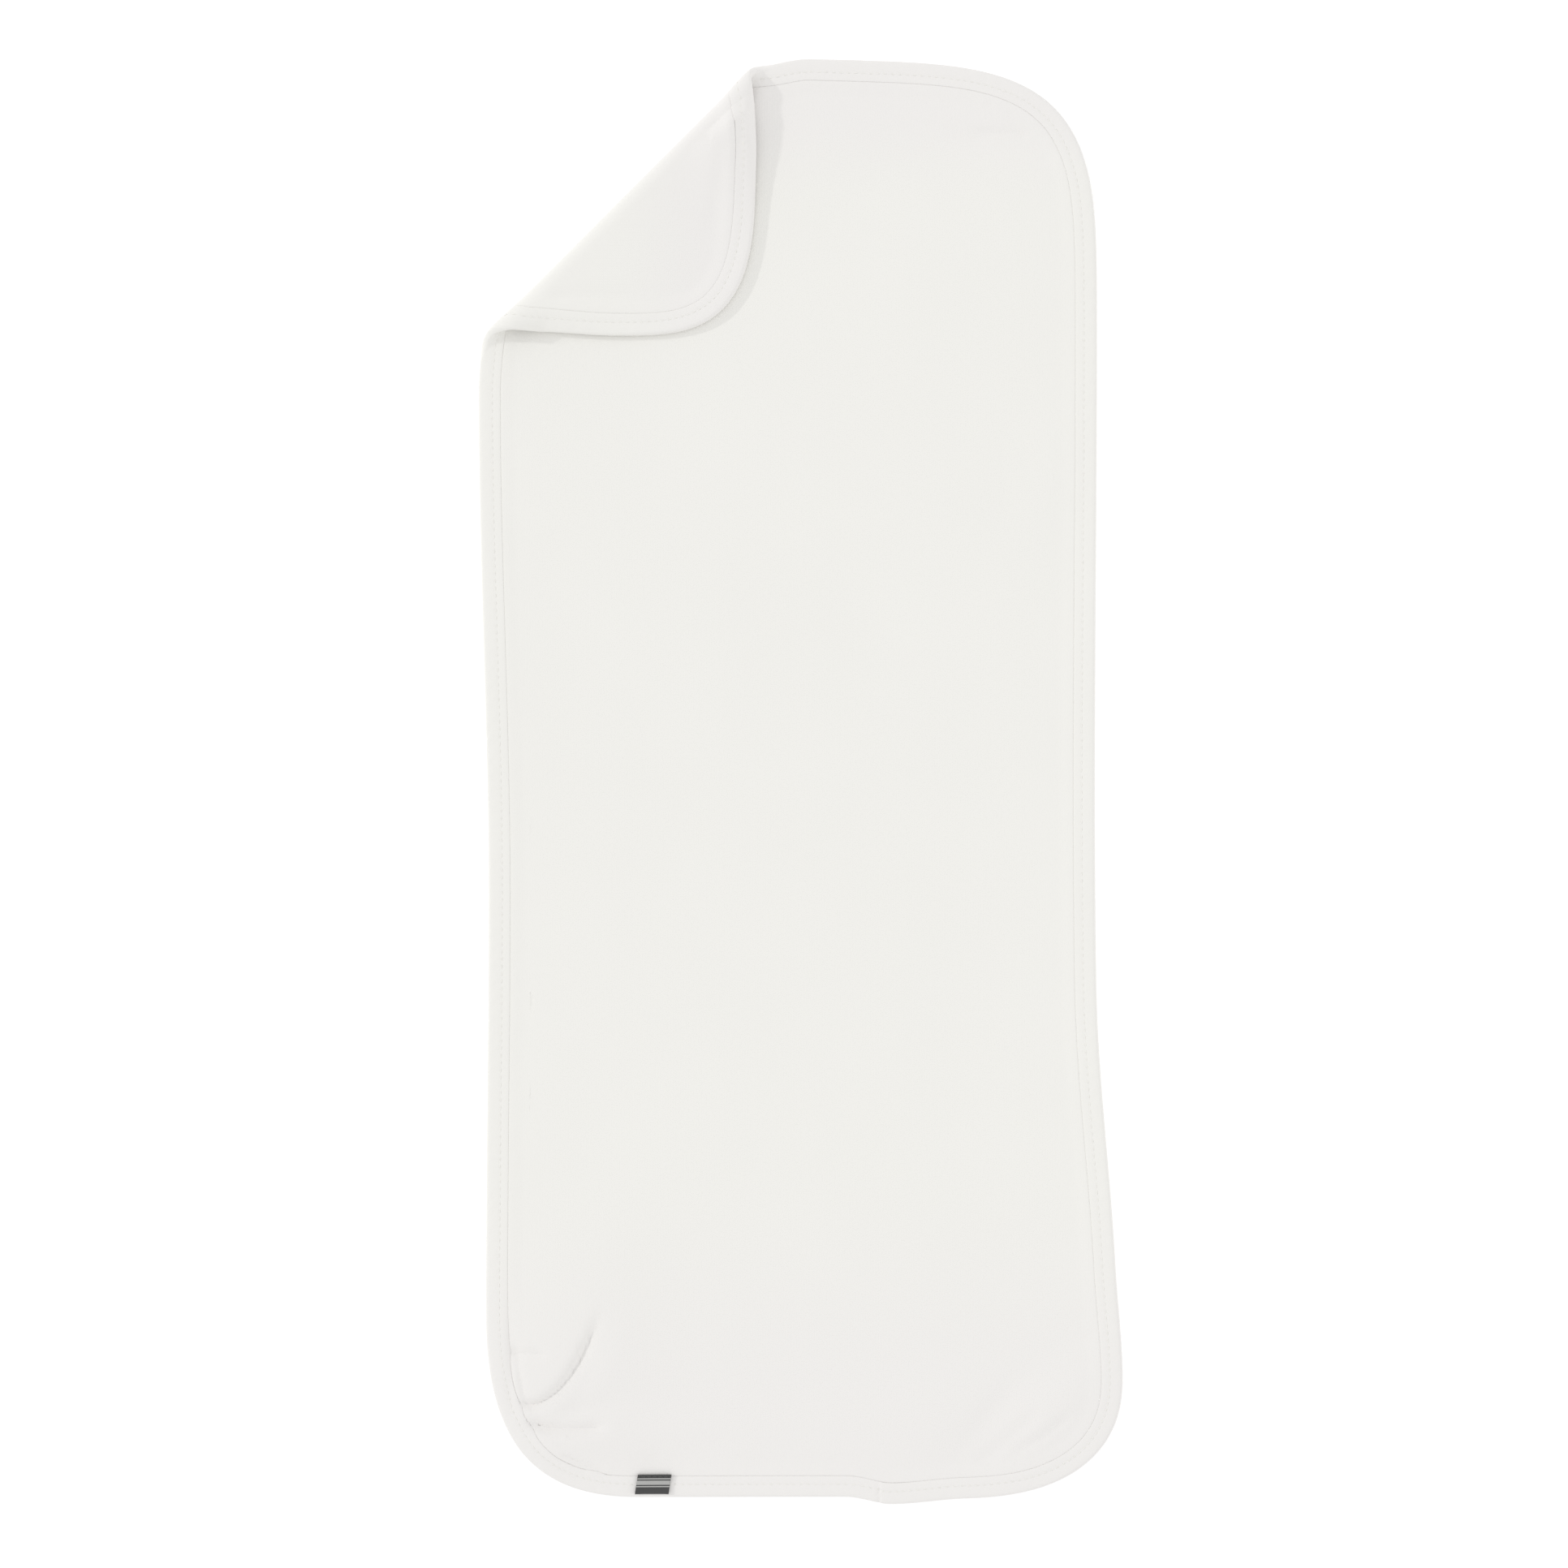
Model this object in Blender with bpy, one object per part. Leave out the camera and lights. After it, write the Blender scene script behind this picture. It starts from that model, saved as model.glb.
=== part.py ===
"""A baby's burp cloth, lying flat on a surface with its upper left corner folded over.

It has three pieces: the knitted panel, the binding strip that wraps its edge all the way round,
and a small woven label sewn over the binding at the lower left.

Each piece is made flat, as it is cut and sewn. It is then cut along the lines where the cloth
bends, and laid: the upper left corner turns over along one 45 degree fold, and low swells lift
the corners off the surface.

A flat piece is in millimetres, with x across the cloth from its middle and y along it from its
lower edge. A laid piece is in metres: +X to the right, +Y to the folded end, +Z up, and the
origin on the surface under the middle of the cloth.
"""

import math

import bmesh
import bpy
from mathutils import Vector

MM = 0.001

CLOTH_LENGTH = 507.7
CLOTH_HALF_WIDTH = 113.2

PANEL_THICKNESS = 2.0
# The binding's stitches press the panel's rim flat inside it.
PANEL_RIM_THICKNESS = 1.0
CLEARANCE = 0.3
BINDING_WIDTH = 7.7
STITCH_LINE = 4.8

# Half the binding's height, from its outer edge inwards: the rolled edge is fullest, the
# topstitch pulls a groove into it, and the cut edge inside the groove stands up a little.
BINDING_PROFILE = (
    # distance from the outer edge, height over the middle of the cloth
    (0.0, 0.0),
    (0.8, 1.15),
    (2.4, 1.55),
    (STITCH_LINE, 1.2),
    (6.2, 1.4),
    (BINDING_WIDTH, 1.15),
)
BINDING_HALF_HEIGHT = max(height for _, height in BINDING_PROFILE)
CAVITY_START = 0.7
CAVITY_HALF_HEIGHT = PANEL_RIM_THICKNESS / 2 + CLEARANCE
PANEL_EDGE = CAVITY_START + CLEARANCE
# Inside the binding the panel is level with the binding's middle, and it comes down to the
# surface over this distance from the outer edge.
RIM_END = BINDING_WIDTH + 0.6
PANEL_DOWN = 13.0
RIM_RISE = BINDING_HALF_HEIGHT - PANEL_THICKNESS / 2

# The flat outline, counter-clockwise. A corner runs from its own row to the next one as a
# superellipse, and its squareness is the exponent, 2 for a plain ellipse. Other rows run on
# to the next one as a smooth curve.
OUTLINE = (
    # place on the edge, x, y, heading in degrees, squareness of a corner that starts here
    ("lower edge left", -53.3, 2.4, 0, 0),
    ("lap begins", 15.7, 2.5, 0, 0),
    ("lap fullest", 31.6, 0.0, 0, 0),
    ("lower edge right", 57.9, 1.9, 2, 2.45),
    ("right edge low", CLOTH_HALF_WIDTH - 0.1, 46.5, 91, 0),
    ("right edge flare", 110.6, 83.6, 93, 0),
    ("right edge waist", 103.9, 182.0, 91, 0),
    ("right edge high", 104.1, 408.5, 90, 4.2),
    ("upper edge right", 3.7, CLOTH_LENGTH, 178.5, 0),
    ("upper edge left", -50.0, 507.2, 181, 3.6),
    ("left edge high", -111.6, 446.0, 269, 0),
    ("left edge shoulder", -CLOTH_HALF_WIDTH, 393.0, 270, 0),
    ("left edge waist", -109.7, 214.7, 270, 0),
    ("left edge low", -110.6, 72.2, 270, 2.7),
)
STRETCH_SAMPLES = 120
EDGE_STEP = 7.5

# The binding's two ends lap here: a step up at the upper end's fold, then it thins out.
LAP_X = 27.9
LAP_RISE = 0.55
LAP_STEP = 1.0
LAP_LENGTH = 24.0
LAP_BELOW_Y = 12.0

# The fold. Its line runs at 45 degrees, at this distance from the origin.
FOLD_AT = 363.7
FOLD_DIRECTION = Vector((-math.sqrt(0.5), math.sqrt(0.5)))
FOLD_RADIUS = 3.6
# Past the half turn the flap slopes down at this angle, and eases out level on the cloth.
FLAP_SLOPE = math.radians(7.5)
FLAP_EASE_RADIUS = 60.0
LAYER_GAP = 0.4
BEND_LENGTH = FOLD_RADIUS * (math.pi + FLAP_SLOPE)
FLAP_FALL = (
    FOLD_RADIUS * (1 + math.cos(FLAP_SLOPE))
    - FLAP_EASE_RADIUS * (1 - math.cos(FLAP_SLOPE))
    - PANEL_THICKNESS
    - LAYER_GAP
)
SLOPE_LENGTH = FLAP_FALL / math.sin(FLAP_SLOPE)
EASE_LENGTH = FLAP_EASE_RADIUS * FLAP_SLOPE
BEND_CUTS = 10
CUT_SNAP = 0.001

# Soft swells and, where the height is negative, hollows between them. Each is an ellipse.
SWELLS = (
    # place on the cloth, x, y, half length, half width, turn in degrees, height
    ("lower left corner", -84.0, 50.0, 40.0, 26.0, 75, 1.9),
    ("hollow round the lower left swell", -80.0, 32.0, 15.0, 4.5, 15, -0.9),
    ("hollow beside the lower left swell", -74.5, 50.0, 16.0, 4.5, 70, -0.8),
    ("pleat over the lower left edge", -84.0, 19.0, 16.0, 5.0, -8, 0.9),
    ("lower edge", -38.0, 22.0, 30.0, 11.0, 5, 1.1),
    ("lower right", 45.0, 28.0, 46.0, 17.0, 8, 1.3),
    ("hollow across the lower right", 66.0, 31.0, 18.0, 5.0, 50, -0.7),
    ("lower right corner", 88.0, 32.0, 22.0, 9.0, 48, 1.4),
    ("right edge", 86.0, 362.0, 22.0, 11.0, 80, 0.9),
    ("upper right corner", 78.0, 472.0, 34.0, 15.0, -35, 1.6),
    ("hollow in the upper right corner", 70.0, 478.0, 17.0, 4.5, -12, -0.8),
    ("left edge", -88.0, 140.0, 15.0, 24.0, 0, 0.8),
)
# A swell starts this far up its own slope, so that the cloth between swells lies flat.
SWELL_FLOOR = 0.12
# The flat sheet is cut into small cells where it swells, and into large ones elsewhere.
SWELL_CUT = 8.0
PLAIN_CUT = 22.0
SWELL_BANDS_X = ((-104.0, -56.0), (56.0, 104.0))
SWELL_BANDS_Y = ((8.0, 96.0), (440.0, 496.0))

LABEL_X = -51.6
LABEL_WIDTH = 12.4
LABEL_LEAN = -1.0
LABEL_THICKNESS = 1.0
LABEL_FROM = 1.3
LABEL_TO = 8.5
LABEL_CUTS = 6


def corner_curve(start, start_way, end, end_way, squareness):
    """A superellipse from one edge line to the next, leaving and meeting them smoothly."""
    between = end - start
    reach = (between.x * end_way.y - between.y * end_way.x) / (
        start_way.x * end_way.y - start_way.y * end_way.x
    )
    point_of_corner = start + start_way * reach
    middle = start + end - point_of_corner
    power = 2 / squareness
    points = []
    for step in range(STRETCH_SAMPLES):
        turn = math.pi / 2 * step / STRETCH_SAMPLES
        along_start = math.cos(turn) ** power
        along_end = math.sin(turn) ** power
        points.append(
            middle + (start - middle) * along_start + (end - middle) * along_end
        )
    return points


def plain_curve(start, start_way, end, end_way):
    """A cubic curve whose handles are a third of the distance."""
    handle = (end - start).length / 3
    first = start + start_way * handle
    second = end - end_way * handle
    points = []
    for step in range(STRETCH_SAMPLES):
        t = step / STRETCH_SAMPLES
        u = 1 - t
        points.append(
            start * u**3
            + first * (3 * u * u * t)
            + second * (3 * u * t * t)
            + end * t**3
        )
    return points


def outline_curve():
    """The whole flat outline as a fine closed line of points."""
    points = []
    for row, following in zip(OUTLINE, OUTLINE[1:] + OUTLINE[:1]):
        _, x, y, heading, squareness = row
        _, next_x, next_y, next_heading, _ = following
        start = Vector((x, y))
        end = Vector((next_x, next_y))
        start_way = heading_vector(heading)
        end_way = heading_vector(next_heading)
        if squareness:
            points += corner_curve(start, start_way, end, end_way, squareness)
        else:
            points += plain_curve(start, start_way, end, end_way)
    return points


def heading_vector(degrees):
    angle = math.radians(degrees)
    return Vector((math.cos(angle), math.sin(angle)))


def edge_stations():
    """Evenly spaced points round the outline, each with the direction that leads inwards."""
    fine = outline_curve()
    closed = fine + fine[:1]
    lengths = [(b - a).length for a, b in zip(closed, closed[1:])]
    count = round(sum(lengths) / EDGE_STEP)
    step = sum(lengths) / count
    points = []
    passed = 0.0
    for start, end, length in zip(closed, closed[1:], lengths):
        while len(points) < count and len(points) * step <= passed + length:
            share = (len(points) * step - passed) / length
            points.append(start.lerp(end, share))
        passed += length
    stations = []
    for index, point in enumerate(points):
        along = points[(index + 1) % count] - points[index - 1]
        inwards = Vector((-along.y, along.x)).normalized()
        stations.append((point, inwards))
    return stations


def swell_height(x, y):
    """How far the swells lift the cloth at a flat point. Nothing lifts it at the fold."""
    height = 0.0
    for _, middle_x, middle_y, half_length, half_width, turn, rise in SWELLS:
        way = heading_vector(turn)
        dx = x - middle_x
        dy = y - middle_y
        along = (dx * way.x + dy * way.y) / half_length
        across = (dy * way.x - dx * way.y) / half_width
        height += rise * math.exp(-along * along - across * across)
    return max(0.0, height - SWELL_FLOOR)


def across_fold(beyond):
    """Where the middle of the cloth is once folded, at a distance beyond the fold's start:
    how far out, how high, and the angle it has turned through."""
    if beyond <= 0:
        return beyond, 0.0, 0.0
    if beyond <= BEND_LENGTH:
        angle = beyond / FOLD_RADIUS
        return (
            FOLD_RADIUS * math.sin(angle),
            FOLD_RADIUS * (1 - math.cos(angle)),
            angle,
        )
    bent = math.pi + FLAP_SLOPE
    out = FOLD_RADIUS * math.sin(bent)
    up = FOLD_RADIUS * (1 - math.cos(bent))
    sloping = min(beyond - BEND_LENGTH, SLOPE_LENGTH)
    out += math.cos(bent) * sloping
    up += math.sin(bent) * sloping
    easing = min(max(beyond - BEND_LENGTH - SLOPE_LENGTH, 0.0), EASE_LENGTH)
    angle = bent - easing / FLAP_EASE_RADIUS
    out += FLAP_EASE_RADIUS * (math.sin(bent) - math.sin(angle))
    up += FLAP_EASE_RADIUS * (math.cos(angle) - math.cos(bent))
    level = max(beyond - BEND_LENGTH - SLOPE_LENGTH - EASE_LENGTH, 0.0)
    return out - level, up, angle


def lay(x, y, height, rise):
    """A flat point's place on the laid cloth. The height is over the middle of the cloth, and
    the rise is how far that middle stands above the panel's own, on whichever side is up."""
    flat = Vector((x, y))
    beyond = flat.dot(FOLD_DIRECTION) - FOLD_AT
    out, up, angle = across_fold(beyond)
    turned_share = min(max(beyond / BEND_LENGTH, 0.0), 1.0)
    offset = height + rise * math.cos(math.pi * turned_share)
    if beyond < 0:
        offset += swell_height(x, y)
    on_line = flat - FOLD_DIRECTION * beyond
    place = on_line + FOLD_DIRECTION * (out - math.sin(angle) * offset)
    z = PANEL_THICKNESS / 2 + up + math.cos(angle) * offset
    return Vector((place.x, place.y - CLOTH_LENGTH / 2, z)) * MM


def cut_lines(mesh, normal, distances, avoid_bend=False):
    """Cuts a flat piece along parallel lines, at distances from the origin along the normal."""
    for distance in distances:
        faces = [
            face
            for face in mesh.faces
            if not (avoid_bend and in_bend(face.calc_center_median()))
        ]
        edges = {edge for face in faces for edge in face.edges}
        verts = {vert for face in faces for vert in face.verts}
        bmesh.ops.bisect_plane(
            mesh,
            geom=list(verts) + list(edges) + faces,
            dist=CUT_SNAP,
            plane_co=normal * distance,
            plane_no=normal,
        )


def in_bend(point):
    beyond = point.x * FOLD_DIRECTION.x + point.y * FOLD_DIRECTION.y - FOLD_AT
    return 0 < beyond < BEND_LENGTH


def cut_for_fold(mesh):
    """The lines where a flat piece bends: the half turn in equal steps, then the slope's end."""
    distances = [FOLD_AT + BEND_LENGTH * step / BEND_CUTS for step in range(BEND_CUTS + 1)]
    slope_end = FOLD_AT + BEND_LENGTH + SLOPE_LENGTH
    distances += [slope_end, slope_end + EASE_LENGTH / 2, slope_end + EASE_LENGTH]
    cut_lines(mesh, FOLD_DIRECTION.to_3d(), distances)


def steps_between(start, end, step):
    count = max(1, round((end - start) / step))
    return [start + (end - start) * index / count for index in range(count)]


def banded_lines(start, end, bands):
    """Lines from start to end, close together in the bands and far apart between them."""
    lines = []
    place = start
    for band_start, band_end in bands:
        lines += steps_between(place, band_start, PLAIN_CUT)
        lines += steps_between(band_start, band_end, SWELL_CUT)
        place = band_end
    lines += steps_between(place, end, PLAIN_CUT)
    return lines


def finish_piece(name, mesh, rise_layer, colour, roughness):
    """Lays a flat piece on the surface and makes it a named object with its own material."""
    for vert in mesh.verts:
        x, y, height = vert.co
        vert.co = lay(x, y, height, vert[rise_layer])
    bmesh.ops.triangulate(mesh, faces=mesh.faces[:])
    data = bpy.data.meshes.new(name)
    mesh.to_mesh(data)
    mesh.free()
    data.shade_smooth()
    material = bpy.data.materials.new(name)
    material.use_nodes = True
    surface = material.node_tree.nodes["Principled BSDF"]
    surface.inputs["Base Color"].default_value = (*colour, 1)
    surface.inputs["Roughness"].default_value = roughness
    data.materials.append(material)
    piece = bpy.data.objects.new(name, data)
    bpy.context.collection.objects.link(piece)
    return piece


def panel_height(distance):
    """Half the panel's thickness, and its rise, at a distance in from the cloth's edge."""
    if distance <= RIM_END:
        return PANEL_RIM_THICKNESS / 2, RIM_RISE
    return PANEL_THICKNESS / 2, 0.0


def make_panel(stations):
    mesh = bmesh.new()
    rise_layer = mesh.verts.layers.float.new("rise")
    rings = []
    for distance in (PANEL_EDGE, RIM_END, PANEL_DOWN):
        half, rise = panel_height(distance)
        ring = []
        for point, inwards in stations:
            flat = point + inwards * distance
            vert = mesh.verts.new((flat.x, flat.y, half))
            vert[rise_layer] = rise
            ring.append(vert)
        rings.append(ring)
    count = len(stations)
    for outer, inner in zip(rings, rings[1:]):
        for index in range(count):
            following = (index + 1) % count
            mesh.faces.new(
                (outer[index], outer[following], inner[following], inner[index])
            )
    mesh.faces.new(rings[-1])
    cut_for_fold(mesh)
    columns = banded_lines(-CLOTH_HALF_WIDTH, CLOTH_HALF_WIDTH, SWELL_BANDS_X)
    rows = banded_lines(0.0, CLOTH_LENGTH, SWELL_BANDS_Y)
    cut_lines(mesh, Vector((1, 0, 0)), columns, avoid_bend=True)
    cut_lines(mesh, Vector((0, 1, 0)), rows, avoid_bend=True)

    # The lower face is the same cut sheet, mirrored through the middle and joined at the rim.
    upper_faces = mesh.faces[:]
    rim = [edge for edge in mesh.edges if edge.is_boundary]
    copied = bmesh.ops.duplicate(mesh, geom=mesh.verts[:] + mesh.edges[:] + upper_faces)
    lower_faces = [item for item in copied["geom"] if isinstance(item, bmesh.types.BMFace)]
    lower_verts = [item for item in copied["geom"] if isinstance(item, bmesh.types.BMVert)]
    for vert in lower_verts:
        vert.co.z = -vert.co.z
    bmesh.ops.reverse_faces(mesh, faces=lower_faces)
    twin = copied["vert_map"]
    for edge in rim:
        loop = edge.link_loops[0]
        first = loop.vert
        second = loop.link_loop_next.vert
        mesh.faces.new((second, first, twin[first], twin[second]))
    return finish_piece("cloth_panel", mesh, rise_layer, (0.84, 0.83, 0.8), 0.9)


def lap_rise(x, y):
    """The extra height where the binding's upper end lies over its lower end."""
    if y > LAP_BELOW_Y:
        return 0.0
    if x < LAP_X - LAP_STEP or x > LAP_X + LAP_LENGTH:
        return 0.0
    if x < LAP_X:
        return LAP_RISE * (x - LAP_X + LAP_STEP) / LAP_STEP
    return LAP_RISE * (1 - (x - LAP_X) / LAP_LENGTH)


def make_binding(stations):
    """A ring of U sections: over the top from the outer edge, back inside the cavity, and
    out again underneath."""
    mesh = bmesh.new()
    rise_layer = mesh.verts.layers.float.new("rise")
    over = list(BINDING_PROFILE)
    cavity = [
        (BINDING_WIDTH, CAVITY_HALF_HEIGHT),
        (CAVITY_START, CAVITY_HALF_HEIGHT),
        (CAVITY_START, -CAVITY_HALF_HEIGHT),
        (BINDING_WIDTH, -CAVITY_HALF_HEIGHT),
    ]
    under = [(distance, -height) for distance, height in reversed(over[1:])]
    section = over + cavity + under
    rings = []
    for point, inwards in stations:
        ring = []
        for distance, height in section:
            flat = point + inwards * distance
            if height > CAVITY_HALF_HEIGHT:
                height += lap_rise(flat.x, flat.y)
            vert = mesh.verts.new((flat.x, flat.y, height))
            vert[rise_layer] = RIM_RISE
            ring.append(vert)
        rings.append(ring)
    size = len(section)
    for ring, following in zip(rings, rings[1:] + rings[:1]):
        for index in range(size):
            beside = (index + 1) % size
            mesh.faces.new(
                (ring[index], following[index], following[beside], ring[beside])
            )
    cut_for_fold(mesh)
    return finish_piece("edge_binding", mesh, rise_layer, (0.85, 0.84, 0.81), 0.9)


def binding_top(distance):
    """The binding's height over the middle of the cloth, at a distance from its edge."""
    for (start, low), (end, high) in zip(BINDING_PROFILE, BINDING_PROFILE[1:]):
        if distance <= end:
            return low + (high - low) * (distance - start) / (end - start)
    return BINDING_PROFILE[-1][1]


def make_label():
    """A folded woven label, sewn down at its upper edge, that lies over the binding."""
    mesh = bmesh.new()
    rise_layer = mesh.verts.layers.float.new("rise")
    edge_y = OUTLINE[0][2]
    rows = []
    for step in range(LABEL_CUTS + 1):
        share = step / LABEL_CUTS
        distance = LABEL_FROM + (LABEL_TO - LABEL_FROM) * share
        middle = LABEL_X + LABEL_LEAN * (1 - share)
        bottom = max(binding_top(distance), binding_top(BINDING_WIDTH)) + CLEARANCE
        top = bottom + LABEL_THICKNESS
        left = middle - LABEL_WIDTH / 2
        right = middle + LABEL_WIDTH / 2
        row = []
        for x, height in ((left, bottom), (right, bottom), (right, top), (left, top)):
            vert = mesh.verts.new((x, edge_y + distance, height))
            vert[rise_layer] = RIM_RISE
            row.append(vert)
        rows.append(row)
    corners = len(rows[0])
    for row, following in zip(rows, rows[1:]):
        for index in range(corners):
            beside = (index + 1) % corners
            mesh.faces.new((row[beside], row[index], following[index], following[beside]))
    mesh.faces.new(rows[0])
    mesh.faces.new(reversed(rows[-1]))
    return finish_piece("label", mesh, rise_layer, (0.07, 0.07, 0.07), 0.7)


def main():
    for old in list(bpy.data.objects):
        bpy.data.objects.remove(old)
    stations = edge_stations()
    make_panel(stations)
    make_binding(stations)
    make_label()


main()
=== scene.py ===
# %% [markdown]
# A baby's burp cloth, laid out with one corner folded over
#
# The cloth is a soft off-white jersey rectangle with round corners. A strip of the same
# jersey is folded over its raw edge and topstitched all round, and a small dark woven label
# lies over that binding at the lower left. The upper left corner is turned over along a
# diagonal. It is not pressed, so the fold stays round and the flap slopes down from it.
#
# Each piece is first made flat, the way it is cut and sewn, and is then laid on the table by
# one function. That keeps the sewing simple and the fold true: nothing stretches.

# %% Load the measured solids
import math

import bmesh
import bpy
import numpy as np
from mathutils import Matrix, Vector, kdtree, noise


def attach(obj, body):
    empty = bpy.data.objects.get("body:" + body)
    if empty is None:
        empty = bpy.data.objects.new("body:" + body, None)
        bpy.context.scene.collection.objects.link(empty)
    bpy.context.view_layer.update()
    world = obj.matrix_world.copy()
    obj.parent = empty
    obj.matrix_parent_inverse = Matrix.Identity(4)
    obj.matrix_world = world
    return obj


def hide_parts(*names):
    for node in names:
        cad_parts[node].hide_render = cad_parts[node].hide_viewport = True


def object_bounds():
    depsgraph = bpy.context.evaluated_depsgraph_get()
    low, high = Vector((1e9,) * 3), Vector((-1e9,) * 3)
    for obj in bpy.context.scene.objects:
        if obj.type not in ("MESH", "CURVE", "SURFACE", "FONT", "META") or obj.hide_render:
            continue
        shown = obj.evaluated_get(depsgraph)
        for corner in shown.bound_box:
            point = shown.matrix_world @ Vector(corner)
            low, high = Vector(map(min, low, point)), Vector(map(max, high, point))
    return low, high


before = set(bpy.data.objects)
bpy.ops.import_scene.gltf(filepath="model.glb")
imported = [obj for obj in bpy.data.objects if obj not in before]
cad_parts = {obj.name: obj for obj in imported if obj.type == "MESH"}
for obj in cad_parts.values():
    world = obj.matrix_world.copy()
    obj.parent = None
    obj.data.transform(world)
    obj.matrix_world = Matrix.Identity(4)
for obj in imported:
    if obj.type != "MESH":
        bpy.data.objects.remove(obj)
cad_low, cad_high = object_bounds()
MM = 0.001
CLOTH_LENGTH = (cad_high.y - cad_low.y) / MM
CLOTH_HALF_WIDTH = 113.2
print("solids:", [round((high - low) / MM, 1) for low, high in zip(cad_low, cad_high)], "mm")

# %% [markdown]
# The flat pattern
#
# A maker starts from a paper pattern. Here it is a table of places on the edge with the way
# the edge runs there, in millimetres from the middle of the lower edge. The four corners are
# superellipses, which are squarer than circles, and the stretches between them are nearly
# straight, with the small waist and flare that a soft cloth has when it is laid by hand.

# %% Draw the flat outline
OUTLINE = (
    # place on the edge, x, y, heading in degrees, squareness of a corner that starts here
    ("lower edge left", -53.3, 2.4, 0, 0),
    ("lap begins", 15.7, 2.5, 0, 0),
    ("lap fullest", 31.6, 0.0, 0, 0),
    ("lower edge right", 57.9, 1.9, 2, 2.45),
    ("right edge low", CLOTH_HALF_WIDTH - 0.1, 46.5, 91, 0),
    ("right edge flare", 110.6, 83.6, 93, 0),
    ("right edge waist", 103.9, 182.0, 91, 0),
    ("right edge high", 104.1, 408.5, 90, 4.2),
    ("upper edge right", 3.7, CLOTH_LENGTH, 178.5, 0),
    ("upper edge at the fold", -17.0, 505.0, 180, 0),
    ("upper edge left", -50.0, 506.6, 180, 3.3),
    ("left edge high", -112.4, 458.0, 270, 0),
    ("left edge at the fold", -110.6, 426.0, 270, 0),
    ("left edge shoulder", -CLOTH_HALF_WIDTH, 390.0, 270, 0),
    ("left edge waist", -109.7, 214.7, 270, 0),
    ("left edge low", -110.6, 72.2, 270, 2.7),
)
STRETCH_SAMPLES = 200


def heading_vector(degrees):
    angle = math.radians(degrees)
    return np.array((math.cos(angle), math.sin(angle)))


def corner_curve(start, start_way, end, end_way, squareness):
    """A superellipse that leaves one edge line and meets the next one smoothly."""
    reach = np.cross(end - start, end_way) / np.cross(start_way, end_way)
    middle = start + end - (start + start_way * reach)
    turn = np.linspace(0, math.pi / 2, STRETCH_SAMPLES, endpoint=False)[:, None]
    power = 2 / squareness
    return (
        middle
        + (start - middle) * np.cos(turn) ** power
        + (end - middle) * np.sin(turn) ** power
    )


def plain_curve(start, start_way, end, end_way):
    """A cubic curve whose handles are a third of the distance."""
    handle = np.linalg.norm(end - start) / 3
    t = np.linspace(0, 1, STRETCH_SAMPLES, endpoint=False)[:, None]
    u = 1 - t
    return (
        start * u**3
        + (start + start_way * handle) * 3 * u * u * t
        + (end - end_way * handle) * 3 * u * t * t
        + end * t**3
    )


def outline_curve():
    stretches = []
    for row, following in zip(OUTLINE, OUTLINE[1:] + OUTLINE[:1]):
        start, end = np.array(row[1:3]), np.array(following[1:3])
        start_way, end_way = heading_vector(row[3]), heading_vector(following[3])
        if row[4]:
            stretches.append(corner_curve(start, start_way, end, end_way, row[4]))
        else:
            stretches.append(plain_curve(start, start_way, end, end_way))
    return np.concatenate(stretches)


class Edge:
    """Evenly spaced points round the outline, with the way along it and the way inwards."""

    def __init__(self, step):
        fine = outline_curve()
        closed = np.vstack((fine, fine[:1]))
        passed = np.concatenate(([0], np.cumsum(np.linalg.norm(np.diff(closed, axis=0), axis=1))))
        self.length = passed[-1]
        self.count = round(self.length / step)
        self.step = self.length / self.count
        self.along_edge = np.arange(self.count) * self.step
        self.points = np.stack(
            [np.interp(self.along_edge, passed, closed[:, axis]) for axis in (0, 1)], axis=1
        )
        way = np.roll(self.points, -1, axis=0) - np.roll(self.points, 1, axis=0)
        self.way = way / np.linalg.norm(way, axis=1)[:, None]
        self.inwards = np.stack((-self.way[:, 1], self.way[:, 0]), axis=1)

    def at(self, along_edge):
        """The point, the way along and the way inwards at distances along the edge."""
        places = (np.asarray(along_edge) / self.step) % self.count
        index = places.astype(int) % self.count
        following = (index + 1) % self.count
        share = (places - places.astype(int))[:, None]
        point = self.points[index] * (1 - share) + self.points[following] * share
        return point, self.way[index], self.inwards[index]


edge = Edge(step=0.5)
print(f"the edge is {edge.length:.0f} mm round, in {len(OUTLINE)} stretches")

# %% [markdown]
# Where a point is on the pattern
#
# Puckers, stitches and the pressed rim all depend on how far a point is from the cloth's
# edge, and how far round. A k-d tree of the edge's points answers both quickly.

# %% Find the nearest edge
edge_tree = kdtree.KDTree(edge.count)
for index, (x, y) in enumerate(edge.points):
    edge_tree.insert((x, y, 0), index)
edge_tree.balance()


def from_edge(flat):
    """How far in from the edge each flat point is, and how far round the edge."""
    nearest = np.array([edge_tree.find((x, y, 0))[1] for x, y in flat])
    offset = flat - edge.points[nearest]
    inside = np.sum(offset * edge.inwards[nearest], axis=1)
    around = edge.along_edge[nearest] + np.sum(offset * edge.way[nearest], axis=1)
    return inside, around


def smooth(share):
    """From 0 to 1 with a soft start and a soft end."""
    share = np.clip(share, 0, 1)
    return share * share * (3 - 2 * share)
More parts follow.
